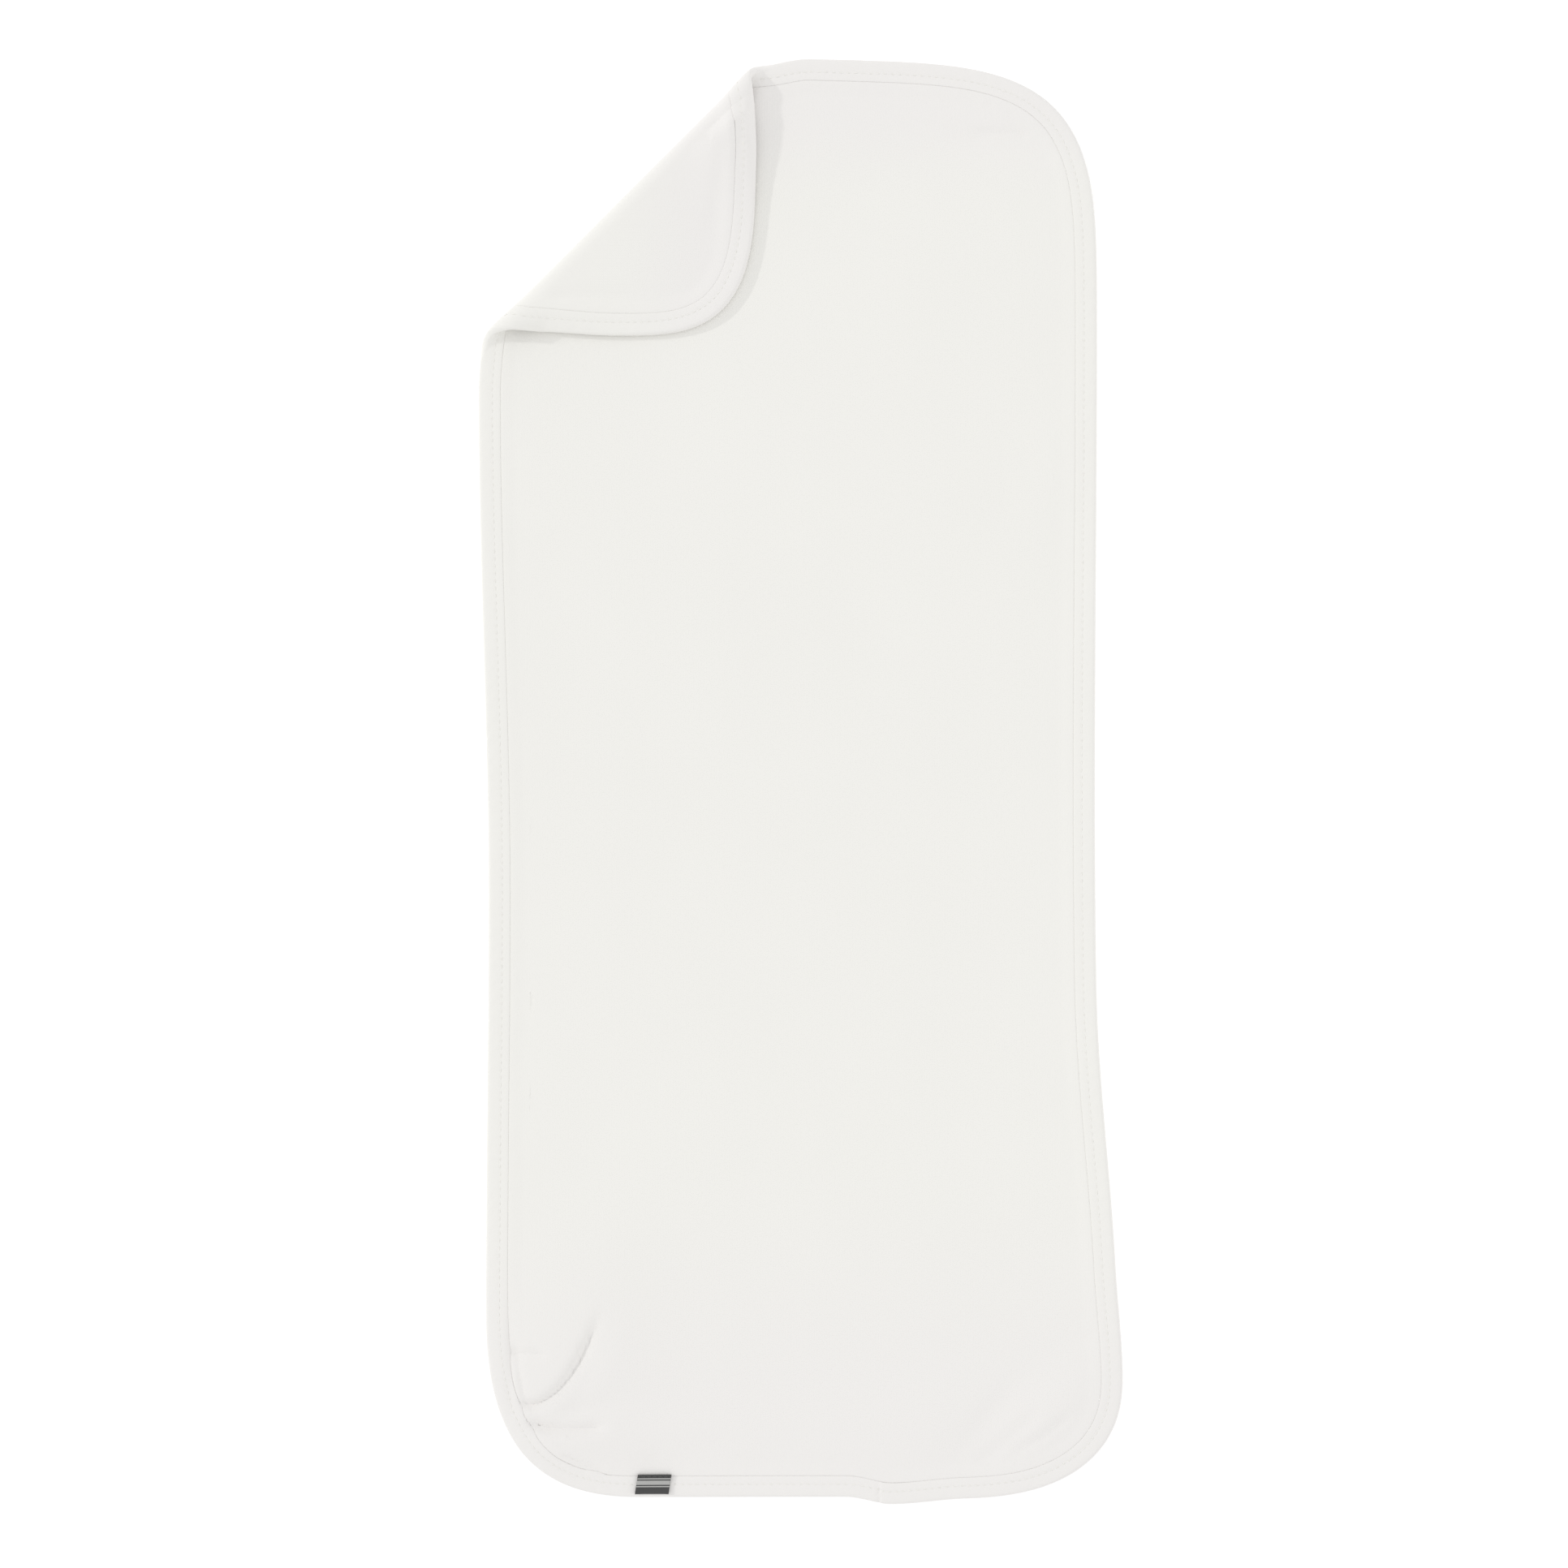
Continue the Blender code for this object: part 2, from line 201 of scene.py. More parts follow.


# %% [markdown]
# The swells and creases of a soft cloth
#
# Jersey never lies quite flat. Broad swells lift the corners a millimetre or two, and where
# the binding holds the edge short the surplus gathers in small creases. Both are listed:
# swells as soft ellipses, creases as soft lines that bend once and fade at their ends.

# %% Place the swells and creases
SWELLS = (
    # place on the cloth, x, y, half length, half width, turn in degrees, height
    ("lower left corner", -84.0, 50.0, 40.0, 26.0, 75, 2.8),
    ("hollow round the lower left swell", -80.0, 32.0, 15.0, 4.5, 15, -1.1),
    ("hollow beside the lower left swell", -74.5, 50.0, 16.0, 4.5, 70, -0.8),
    ("pleat over the lower left edge", -84.0, 23.0, 20.0, 9.0, -8, 1.6),
    ("lower edge", -38.0, 22.0, 30.0, 11.0, 5, 1.1),
    ("lower right", 45.0, 28.0, 46.0, 17.0, 8, 1.3),
    ("hollow across the lower right", 66.0, 31.0, 18.0, 5.0, 50, -0.7),
    ("lower right corner", 88.0, 32.0, 22.0, 9.0, 48, 1.4),
    ("right edge", 86.0, 362.0, 22.0, 11.0, 80, 0.9),
    ("upper right corner", 78.0, 472.0, 34.0, 15.0, -35, 1.6),
    ("hollow in the upper right corner", 70.0, 478.0, 17.0, 4.5, -12, -0.8),
    ("left edge", -88.0, 140.0, 15.0, 24.0, 0, 0.8),
    ("the flap's edge near the fold", -37.0, 495.0, 20.0, 11.0, 0, 3.4),
    ("hollow inside the flap's ridge", -36.0, 499.8, 24.0, 2.2, -1, -1.0),
    ("hollow beside the lower left binding", -101.8, 54.0, 17.0, 1.7, 91, -0.8),
)
SWELL_FLOOR = 0.12

CREASES = (
    # place, start, bend, end, half width, height: a negative height is a furrow
    ("round the lower left pillow", (-104.0, 38.0), (-84.0, 25.0), (-69.0, 72.0), 1.8, -2.2),
    ("beside the lower left pillow", (-100.0, 60.0), (-99.5, 46.0), (-96.0, 33.0), 1.4, -0.9),
    ("tuck at the lower left binding", (-104.0, 54.6), (-97.0, 52.4), (-88.0, 53.4), 1.6, -0.9),
    ("under the lower left pillow", (-101.0, 30.0), (-83.0, 23.6), (-66.0, 28.6), 2.2, -2.4),
    ("first thin crease at the corner", (-86.0, 19.0), (-75.0, 13.8), (-62.0, 7.0), 1.2, -1.2),
    ("second thin crease at the corner", (-90.0, 18.2), (-80.0, 13.2), (-72.0, 10.6), 1.0, -1.0),
    ("long hollow by the lower edge", (-60.0, 21.0), (-40.0, 16.0), (-20.0, 24.0), 5.0, -0.5),
    ("lower right diagonal", (72.0, 17.0), (84.0, 22.0), (97.0, 34.0), 1.6, -0.6),
    ("second lower right diagonal", (60.0, 13.5), (74.0, 22.0), (86.0, 36.0), 2.4, -0.5),
    ("across the upper right corner", (58.0, 479.5), (70.0, 484.5), (83.0, 479.0), 1.6, -0.6),
    ("beside the upper right binding", (77.0, 493.0), (86.0, 489.0), (90.0, 478.0), 1.2, -0.45),
    ("by the left edge", (-99.0, 140.5), (-90.0, 142.5), (-80.0, 139.5), 1.6, -0.25),
    ("by the right edge", (76.0, 369.0), (82.0, 364.0), (86.0, 358.0), 3.0, -0.25),
    ("along the flap's binding", (-18.0, 496.5), (-52.0, 497.0), (-86.0, 488.0), 2.6, -0.3),
    ("over the flap's lower edge", (-100.0, 428.0), (-98.0, 446.0), (-99.0, 470.0), 2.4, -0.3),
)
CREASE_SAMPLES = 60
CREASE_REACH = 3.5
# Each end of a crease fades over this share of its length, and beside the binding every
# crease grows over this distance.
CREASE_FADE = 0.25
CREASE_CLEAR = 6.5
SOFT_FLOOR = 0.08


def swell_height(flat):
    height = np.zeros(len(flat))
    for _, middle_x, middle_y, half_length, half_width, turn, rise in SWELLS:
        way = heading_vector(turn)
        dx, dy = flat[:, 0] - middle_x, flat[:, 1] - middle_y
        along = (dx * way[0] + dy * way[1]) / half_length
        across = (dy * way[0] - dx * way[1]) / half_width
        height += rise * np.exp(-along * along - across * across)
    return np.maximum(0.0, height - SWELL_FLOOR)


def crease_height(flat):
    height = np.zeros(len(flat))
    for _, start, bend, end, half_width, rise in CREASES:
        t = np.linspace(0, 1, CREASE_SAMPLES)[:, None]
        line = (
            np.array(start) * (1 - t) ** 2 + np.array(bend) * 2 * t * (1 - t) + np.array(end) * t**2
        )
        reach = half_width * CREASE_REACH
        near = np.all((flat > line.min(0) - reach) & (flat < line.max(0) + reach), axis=1)
        distances = np.linalg.norm(flat[near][:, None, :] - line[None], axis=2)
        nearest = distances.argmin(axis=1)
        walked = nearest / (CREASE_SAMPLES - 1)
        fade = smooth(np.minimum(walked, 1 - walked) / CREASE_FADE)
        away = distances.min(axis=1) / half_width
        height[near] += rise * fade * np.exp(-away * away)
    return height


def relief(flat, beyond, inside):
    """How far swells and creases lift the cloth, away from the fold's own bend. On the table
    a furrow stops softly, and on the flap the lift is towards the cloth's other side."""
    height = swell_height(flat) + crease_height(flat) * smooth((inside - STITCH_LINE) / CREASE_CLEAR)
    floored = (height + np.sqrt(height * height + SOFT_FLOOR * SOFT_FLOOR) - SOFT_FLOOR) / 2
    below = np.clip(-beyond / FOLD_RADIUS, 0, 1)
    above = np.clip((beyond - BEND_LENGTH) / FOLD_RADIUS, 0, 1)
    return floored * below - height * above


# %% [markdown]
# Laying the flat pattern
#
# Across the fold the cloth makes a half turn of small radius. It goes a little past level,
# slopes down, and eases out flat on the layer below. Walking along that section by its own
# length keeps the flap exactly as long as the pattern says. Nothing holds the flap's free
# edge up, so near it the flap droops until the binding rests on the cloth. The two faces of
# a piece are then set out square to the cloth's middle, wherever it goes.

# %% Lay a flat point on the table
PANEL_THICKNESS = 2.0
RIM_RISE = 0.5
STITCH_LINE = 4.8
RIM_END = 8.3
PANEL_DOWN = 13.0
FOLD_AT = 363.7
FOLD_DIRECTION = np.array((-math.sqrt(0.5), math.sqrt(0.5)))
FOLD_RADIUS = 3.6
FLAP_SLOPE = math.radians(7.5)
FLAP_EASE_RADIUS = 60.0
LAYER_GAP = 0.4
BEND_LENGTH = FOLD_RADIUS * (math.pi + FLAP_SLOPE)
FLAP_FALL = (
    FOLD_RADIUS * (1 + math.cos(FLAP_SLOPE))
    - FLAP_EASE_RADIUS * (1 - math.cos(FLAP_SLOPE))
    - PANEL_THICKNESS
    - LAYER_GAP
)
SLOPE_LENGTH = FLAP_FALL / math.sin(FLAP_SLOPE)
EASE_LENGTH = FLAP_EASE_RADIUS * FLAP_SLOPE
# The flap's free edge droops over this width. At the fold's left end that starts past the bend,
# which leaves a leaf-shaped gap. At its right end the droop starts in the bend itself.
DROOP_WIDTH = 10.0
FOLD_ENDS = (205.0, 355.0)
DROOP_STARTS = (0.0, -6.0)
DROOP_RAMPS = (9.0, 12.0)
NORMAL_STEP = 0.2


def across_fold(beyond):
    """How far out, how high and how far turned the cloth is, at a distance past the fold."""
    bent = math.pi + FLAP_SLOPE
    bend_angle = np.clip(beyond, 0, BEND_LENGTH) / FOLD_RADIUS
    sloping = np.clip(beyond - BEND_LENGTH, 0, SLOPE_LENGTH)
    easing = np.clip(beyond - BEND_LENGTH - SLOPE_LENGTH, 0, EASE_LENGTH)
    level = np.maximum(beyond - BEND_LENGTH - SLOPE_LENGTH - EASE_LENGTH, 0)
    eased = bent - easing / FLAP_EASE_RADIUS
    out = np.minimum(beyond, 0) + FOLD_RADIUS * np.sin(bend_angle)
    out += math.cos(bent) * sloping + FLAP_EASE_RADIUS * (math.sin(bent) - np.sin(eased)) - level
    up = FOLD_RADIUS * (1 - np.cos(bend_angle))
    up += math.sin(bent) * sloping + FLAP_EASE_RADIUS * (np.cos(eased) - math.cos(bent))
    return out, up, np.where(easing > 0, eased, bend_angle)


def droop(flat, beyond, inside, up):
    """How far the flap's free edge sinks: all the way, once it is clear of the bend."""
    along_fold = flat.sum(axis=1) * math.sqrt(0.5)
    start = np.interp(along_fold, FOLD_ENDS, DROOP_STARTS)
    ramp = np.interp(along_fold, FOLD_ENDS, DROOP_RAMPS)
    free = smooth((beyond - BEND_LENGTH - start) / ramp)
    near_edge = np.clip(1 - inside / DROOP_WIDTH, 0, 1) ** 2
    return (up - PANEL_THICKNESS - LAYER_GAP) * free * near_edge


def cloth_middle(flat):
    """Where the middle of the cloth lies on the table, for flat points, in millimetres."""
    inside, _ = from_edge(flat)
    beyond = flat @ FOLD_DIRECTION - FOLD_AT
    out, up, angle = across_fold(beyond)
    turned = np.clip(beyond / BEND_LENGTH, 0, 1)
    raised = RIM_RISE * (1 - smooth((inside - RIM_END) / (PANEL_DOWN - RIM_END)))
    offset = raised * np.cos(math.pi * turned) + relief(flat, beyond, inside)
    place = flat + FOLD_DIRECTION * (out - beyond - np.sin(angle) * offset)[:, None]
    z = PANEL_THICKNESS / 2 + up + np.cos(angle) * offset - droop(flat, beyond, inside, up)
    return np.column_stack((place[:, 0], place[:, 1] - CLOTH_LENGTH / 2, z))


def lay(flat, height):
    """Where flat points are on the table, in metres, at heights square to the cloth."""
    here = cloth_middle(flat)
    across = cloth_middle(flat + (NORMAL_STEP, 0)) - here
    along = cloth_middle(flat + (0, NORMAL_STEP)) - here
    normal = np.cross(across, along)
    normal /= np.linalg.norm(normal, axis=1)[:, None]
    return (here + normal * np.asarray(height)[:, None]) * MM


flap_top = lay(np.array([[-90.0, 470.0]]), [-1.0])[0]
print("a point on the flap's face is", (flap_top / MM).round(1), "mm from the cloth's middle")

# %% [markdown]
# The view, the light and the table
#
# The photo looks straight down through a long lens, so the only sign of perspective is the
# sliver of dark gap under the flap's lower edge. The light is nearly all even: a white room,
# one weak lamp low on the left that draws the flap's shadow, and a softer, weaker one on the
# right that fills it. The table is a lit white acrylic sheet, as product photographers use,
# so the ground stays white round the cloth.

# %% Set the camera, lamp, room and table
FRAME_PIXELS = 1932
PIXEL = 0.285 * MM
FRAME_WIDTH = FRAME_PIXELS * PIXEL
LENS_MM = 80
SENSOR_MM = 36
CAMERA_OFFSET = (-5.9 * MM, -0.9 * MM)
CLOTH_TOP = 2 * MM

camera_data = bpy.data.cameras.new("camera")
camera_data.lens = LENS_MM
camera_data.sensor_width = SENSOR_MM
camera = bpy.data.objects.new("camera", camera_data)
bpy.context.collection.objects.link(camera)
camera_height = FRAME_WIDTH * LENS_MM / SENSOR_MM
camera.location = (*CAMERA_OFFSET, CLOTH_TOP + camera_height)
bpy.context.scene.camera = camera
print(f"the camera is {camera_height:.2f} m above the cloth")

LAMPS = (
    # name, elevation and heading in degrees, strength, size in degrees
    ("low lamp on the left", 28, -18, 0.54, 3),
    ("soft fill on the right", 30, 170, 0.19, 20),
)


def hang_lamp(name, elevation, heading, strength, size):
    """A far lamp whose light travels along its heading and down."""
    data = bpy.data.lights.new(name, "SUN")
    data.energy = strength
    data.angle = math.radians(size)
    data.color = (1.0, 0.99, 0.97)
    lamp = bpy.data.objects.new(name, data)
    bpy.context.collection.objects.link(lamp)
    level = heading_vector(heading) * math.cos(math.radians(elevation))
    way = Vector((*level, -math.sin(math.radians(elevation))))
    lamp.rotation_mode = "QUATERNION"
    lamp.rotation_quaternion = way.to_track_quat("-Z", "Y")


for lamp_row in LAMPS:
    hang_lamp(*lamp_row)

ROOM_STRENGTH = 0.852
room = bpy.data.worlds.new("white room")
room.use_nodes = True
room.node_tree.nodes["Background"].inputs["Color"].default_value = (1, 1, 1, 1)
room.node_tree.nodes["Background"].inputs["Strength"].default_value = ROOM_STRENGTH
bpy.context.scene.world = room
bpy.context.scene.view_settings.view_transform = "Standard"

TABLE_SIZE = 8.0
TABLE_GAP = 0.02 * MM
bpy.ops.object.select_all(action="DESELECT")
bpy.ops.mesh.primitive_plane_add(size=TABLE_SIZE, location=(0, 0, -TABLE_GAP))
table = bpy.context.object
table.name = "table"

# %% [markdown]
# Colours and nodes
#
# Colours are read off as sRGB hex values, and Blender mixes linear light, so one function
# converts them. A second small function adds a node with its settings and its links.


# %% Helpers for materials
def linear(hex_colour):
    """An sRGB hex colour as linear red, green, blue and alpha."""
    parts = [int(hex_colour[i : i + 2], 16) / 255 for i in (1, 3, 5)]
    return (*[p / 12.92 if p <= 0.04045 else ((p + 0.055) / 1.055) ** 2.4 for p in parts], 1)


def new_material(name):
    material = bpy.data.materials.new(name)
    material.use_nodes = True
    return material, material.node_tree, material.node_tree.nodes["Principled BSDF"]


def add_node(tree, kind, settings=None, links=None):
    """Adds a node. A link's value is a socket of another node, or a plain number or colour."""
    node = tree.nodes.new(kind)
    for name, value in (settings or {}).items():
        setattr(node, name, value)
    for socket, value in (links or {}).items():
        if isinstance(value, bpy.types.NodeSocket):
            tree.links.new(value, node.inputs[socket])
        else:
            node.inputs[socket].default_value = value
    return node


# %% [markdown]
# The jersey
#
# Plain jersey is knitted cotton. Its face shows fine upright columns of V stitches, called
# wales, about 0.9 mm apart. It is matt, with a faint soft sheen from the fibre ends. The
# columns follow the flat pattern, so they turn with the flap: the pattern's own coordinates
# are kept as a UV map, in metres. At the photo's scale the knit can't be seen, so it is a low
# bump only, with a very slight mottle in the colour where the yarn is thicker.

# %% Make the knitted material
WALE = 0.9 * MM
COURSE = 0.75 * MM
STITCH_SLANT = 1.3
YARN_GRAIN = 0.6 * MM
MOTTLE_SIZE = 55 * MM
# Towards both ends the colour is painted a little darker and warmer than in the middle: painted
# shade for the dimmer light there.
PAINTED_SHADE_BELOW = (120 * MM, 30 * MM)
PAINTED_SHADE_ABOVE = (455 * MM, 490 * MM)


def make_jersey(name, bump_height, colour="#F5F4F0", shade="#F4F3EF", painted_shade_colour="#F3F1EF"):
    material, tree, surface = new_material(name)
    uv = add_node(tree, "ShaderNodeUVMap", {"uv_map": "pattern"})
    axes = add_node(tree, "ShaderNodeSeparateXYZ", links={0: uv.outputs[0]})
    math_node = "ShaderNodeMath"

    # One wale is a column of V stitches: its height swells over the column's width, and the
    # courses are bent into a V by the distance from the column's middle.
    column = add_node(tree, math_node, {"operation": "DIVIDE"}, {0: axes.outputs["X"], 1: WALE})
    share = add_node(tree, math_node, {"operation": "FRACT"}, {0: column.outputs[0]})
    centred = add_node(tree, math_node, {"operation": "SUBTRACT"}, {0: share.outputs[0], 1: 0.5})
    side = add_node(tree, math_node, {"operation": "ABSOLUTE"}, {0: centred.outputs[0]})
    row = add_node(tree, math_node, {"operation": "DIVIDE"}, {0: axes.outputs["Y"], 1: COURSE})
    slanted = add_node(
        tree,
        math_node,
        {"operation": "MULTIPLY_ADD"},
        {0: side.outputs[0], 1: -STITCH_SLANT, 2: row.outputs[0]},
    )
    turn = add_node(tree, math_node, {"operation": "MULTIPLY"}, {0: slanted.outputs[0], 1: math.tau})
    stitch = add_node(tree, math_node, {"operation": "SINE"}, {0: turn.outputs[0]})
    column_turn = add_node(
        tree, math_node, {"operation": "MULTIPLY"}, {0: side.outputs[0], 1: math.tau}
    )
    furrow = add_node(tree, math_node, {"operation": "COSINE"}, {0: column_turn.outputs[0]})
    stitch_part = add_node(
        tree, math_node, {"operation": "MULTIPLY_ADD"}, {0: stitch.outputs[0], 1: 0.25, 2: 0.5}
    )
    knit = add_node(
        tree,
        math_node,
        {"operation": "MULTIPLY_ADD"},
        {0: furrow.outputs[0], 1: -0.25, 2: stitch_part.outputs[0]},
    )

    # Spun yarn is never quite even: a fine grain blurs the stitches, and a slow one tints.
    grain = add_node(
        tree,
        "ShaderNodeTexNoise",
        links={
            "Vector": uv.outputs[0],
            "Scale": 1 / YARN_GRAIN,
            "Detail": 4.0,
            "Roughness": 0.65,
        },
    )
    blurred = add_node(
        tree,
        math_node,
        {"operation": "MULTIPLY_ADD"},
        {0: grain.outputs[0], 1: 0.5, 2: knit.outputs[0]},
    )
    bump = add_node(
        tree,
        "ShaderNodeBump",
        links={"Height": blurred.outputs[0], "Strength": 0.17, "Distance": bump_height},
    )
    slow = add_node(
        tree,
        "ShaderNodeTexNoise",
        links={"Vector": uv.outputs[0], "Scale": 1 / MOTTLE_SIZE, "Detail": 3.0, "Roughness": 0.5},
    )
    tone = add_node(
        tree,
        "ShaderNodeMapRange",
        links={0: slow.outputs[0], 1: 0.3, 2: 0.7, 3: 0.0, 4: 1.0},
    )
    mixed = add_node(
        tree,
        "ShaderNodeMix",
        {"data_type": "RGBA"},
        {0: tone.outputs[0], 6: linear(shade), 7: linear(colour)},
    )
    # Painted shade: towards both ends of the cloth the colour is mixed to a darker, warmer tone.
    cloth = add_node(tree, "ShaderNodeUVMap", {"uv_map": "cloth"})
    place = add_node(tree, "ShaderNodeSeparateXYZ", links={0: cloth.outputs[0]})
    lower = add_node(
        tree,
        "ShaderNodeMapRange",
        {"interpolation_type": "SMOOTHSTEP"},
        {0: place.outputs["Y"], 1: PAINTED_SHADE_BELOW[0], 2: PAINTED_SHADE_BELOW[1], 3: 0.0, 4: 1.0},
    )
    upper = add_node(
        tree,
        "ShaderNodeMapRange",
        {"interpolation_type": "SMOOTHSTEP"},
        {0: place.outputs["Y"], 1: PAINTED_SHADE_ABOVE[0], 2: PAINTED_SHADE_ABOVE[1], 3: 0.0, 4: 1.0},
    )
    painted_shade_share = add_node(
        tree, math_node, {"operation": "MAXIMUM"}, {0: lower.outputs[0], 1: upper.outputs[0]}
    )
    painted_shade_mix = add_node(
        tree,
        "ShaderNodeMix",
        {"data_type": "RGBA"},
        {0: painted_shade_share.outputs[0], 6: mixed.outputs[2], 7: linear(painted_shade_colour)},
    )
    tree.links.new(painted_shade_mix.outputs[2], surface.inputs["Base Color"])
    tree.links.new(bump.outputs[0], surface.inputs["Normal"])
    surface.inputs["Roughness"].default_value = 0.92
    surface.inputs["Specular IOR Level"].default_value = 0.25
    surface.inputs["Sheen Weight"].default_value = 0.06
    surface.inputs["Sheen Roughness"].default_value = 0.6
    return material


panel_jersey = make_jersey("knitted cotton jersey", 0.12 * MM)
binding_jersey = make_jersey("knitted binding strip", 0.12 * MM)
print("wales are", WALE / MM, "mm apart")

# %% [markdown]
# Making the panel
#
# The panel is one sheet. It starts as a circle primitive with a face, whose points are put
# on the pattern's edge, and insets give it rings that follow the edge. It is cut with
# straight bisections: across the fold in narrow strips, and over the rest in a grid that is
# finer where the cloth creases. Then its points are laid on the table, and Solidify gives the
# sheet its two faces.

# %% Cut the panel out flat
PANEL_EDGE = 1.0
PANEL_RINGS = (3.0, 5.2, 7.0, 7.4, 7.8, 8.3, 9.0, 10.0, 11.4, 13.0, 15.0)
BEND_STRIPS = 14
BEND_STRIP_LENGTH = 3.0
PLAIN_CUT = 4.4
CREASED_X = ((-104.0, -60.0, 1.2), (56.0, 104.0, 1.6))
CREASED_Y = ((8.0, 76.0, 1.2), (464.0, 500.0, 1.6))
CUT_SNAP = 0.35
PANEL_STATIONS = 960


def start_edit(piece, mode):
    bpy.ops.object.select_all(action="DESELECT")
    piece.select_set(True)
    bpy.context.view_layer.objects.active = piece
    bpy.ops.object.mode_set(mode="EDIT")
    bpy.ops.mesh.select_mode(type=mode)


def steps_between(start, end, step):
    count = max(1, round((end - start) / step))
    return [start + (end - start) * index / count for index in range(count)]


def banded_lines(start, end, bands):
    """Lines from start to end, close together in the bands and far apart between them."""
    lines = []
    place = start
    for band_start, band_end, band_step in bands:
        lines += steps_between(place, band_start, PLAIN_CUT)
        lines += steps_between(band_start, band_end, band_step)
        place = band_end
    return lines + steps_between(place, end, PLAIN_CUT)


def bisect_lines(normal, distances):
    """Cuts all that is shown in edit mode along parallel lines."""
    for distance in distances:
        bpy.ops.mesh.select_all(action="SELECT")
        bpy.ops.mesh.bisect(
            plane_co=(normal[0] * distance, normal[1] * distance, 0),
            plane_no=(normal[0], normal[1], 0),
            threshold=CUT_SNAP,
        )


def hide_faces(piece, keep):
    """Hides the faces whose middle keep() refuses, so that the next cuts pass them by."""
    bpy.ops.mesh.select_all(action="DESELECT")
    mesh = bmesh.from_edit_mesh(piece.data)
    for face in mesh.faces:
        face.select_set(not keep(face.calc_center_median()))
    bmesh.update_edit_mesh(piece.data)
    bpy.ops.mesh.hide(unselected=False)


def in_bend(point):
    beyond = point.x * FOLD_DIRECTION[0] + point.y * FOLD_DIRECTION[1] - FOLD_AT
    return 0 < beyond < BEND_LENGTH


bpy.ops.object.select_all(action="DESELECT")
bpy.ops.mesh.primitive_circle_add(vertices=PANEL_STATIONS, radius=100, fill_type="NGON")
panel = bpy.context.object
panel.name = "panel"
around = np.arange(PANEL_STATIONS) * edge.length / PANEL_STATIONS
point, _, inwards = edge.at(around)
for vert, place in zip(panel.data.vertices, point + inwards * PANEL_EDGE):
    vert.co = (*place, 0)

start_edit(panel, "FACE")
bpy.ops.mesh.select_all(action="SELECT")
depth = PANEL_EDGE
for ring in PANEL_RINGS:
    bpy.ops.mesh.inset(thickness=ring - depth, use_even_offset=True)
    depth = ring
strip = BEND_LENGTH / BEND_STRIPS
bisect_lines(FOLD_DIRECTION, [FOLD_AT + strip * index for index in range(BEND_STRIPS + 1)])
hide_faces(panel, in_bend)
along_fold = (FOLD_DIRECTION[1], -FOLD_DIRECTION[0])
bisect_lines(along_fold, steps_between(*FOLD_ENDS, BEND_STRIP_LENGTH))
bpy.ops.mesh.reveal(select=False)
hide_faces(panel, lambda middle: not in_bend(middle))
bisect_lines((1, 0), banded_lines(-CLOTH_HALF_WIDTH, CLOTH_HALF_WIDTH, CREASED_X))
bisect_lines((0, 1), banded_lines(0.0, CLOTH_LENGTH, CREASED_Y))
bpy.ops.mesh.reveal(select=False)
bpy.ops.object.mode_set(mode="OBJECT")

print("the flat panel has", len(panel.data.polygons), "faces")

# %% [markdown]
# The pull of the seam
#
# Where the panel comes out of the binding it is pulled in by the stitches and swells between
# them, so it has fine ripples that die out within a centimetre. They are sums of two waves
# round the edge, weakened here and there by slow noise so that no stretch looks alike.

# %% Lay the panel on the table
RIPPLE_HEIGHT = 0.14
RIPPLE_FADE = 4.5
RIPPLES = (
    # wave length round the edge, slant of the wave, share of the height
    (9.3, 0.5, 0.6),
    (5.7, -0.3, 0.4),
)
UNEVEN_ROUND = 31.0
UNEVEN_INWARDS = 40.0
UNEVEN_SLICE = 3.7
DRIFT_HEIGHT = 0.22
DRIFT_SIZE = 38.0
DRIFT_SLICE = 1.3
RIM_SHARE = 0.5
RIM_PRESSED_TO = 7.0
RIM_FULL_FROM = 7.9


def read_points(piece):
    points = np.empty(len(piece.data.vertices) * 3, np.float32)
    piece.data.vertices.foreach_get("co", points)
    return points.reshape(-1, 3).astype(float)


def write_points(piece, points):
    piece.data.vertices.foreach_set("co", points.astype(np.float32).ravel())
    piece.data.update()


def keep_pattern(piece, across, along, name="pattern"):
    """Stores each point's place on the flat pattern, in millimetres, as a UV map in metres."""
    layer = piece.data.uv_layers.new(name=name)
    corners = np.empty(len(piece.data.loops), np.int32)
    piece.data.loops.foreach_get("vertex_index", corners)
    places = np.column_stack((across, along))[corners] * MM
    layer.data.foreach_set("uv", places.astype(np.float32).ravel())


def uneven(around, inside):
    """From 0 to 1: how much the seam pulls at each place round the edge."""
    slow = [
        noise.noise((s / UNEVEN_ROUND, w / UNEVEN_INWARDS, UNEVEN_SLICE))
        for s, w in zip(around, inside)
    ]
    return 0.5 + 0.5 * np.array(slow)


def seam_ripple(around, inside):
    waves = sum(
        share * np.sin(math.tau * (around + inside * slant) / wave_length)
        for wave_length, slant, share in RIPPLES
    )
    fade = smooth(inside - RIM_END) * np.exp(-np.maximum(inside - RIM_END, 0) / RIPPLE_FADE)
    return RIPPLE_HEIGHT * fade * uneven(around, inside) * waves


def drift(flat):
    """The slow unevenness of a cloth laid by hand."""
    slow = [noise.noise((x / DRIFT_SIZE, y / DRIFT_SIZE, DRIFT_SLICE)) for x, y in flat]
    return DRIFT_HEIGHT * (0.5 + 0.5 * np.array(slow))


flat = read_points(panel)[:, :2]
inside, around = from_edge(flat)
keep_pattern(panel, flat[:, 0], flat[:, 1])
keep_pattern(panel, flat[:, 0], flat[:, 1], "cloth")
down = smooth((inside - RIM_END) / (PANEL_DOWN - RIM_END))
write_points(panel, lay(flat, seam_ripple(around, inside) + drift(flat) * down))

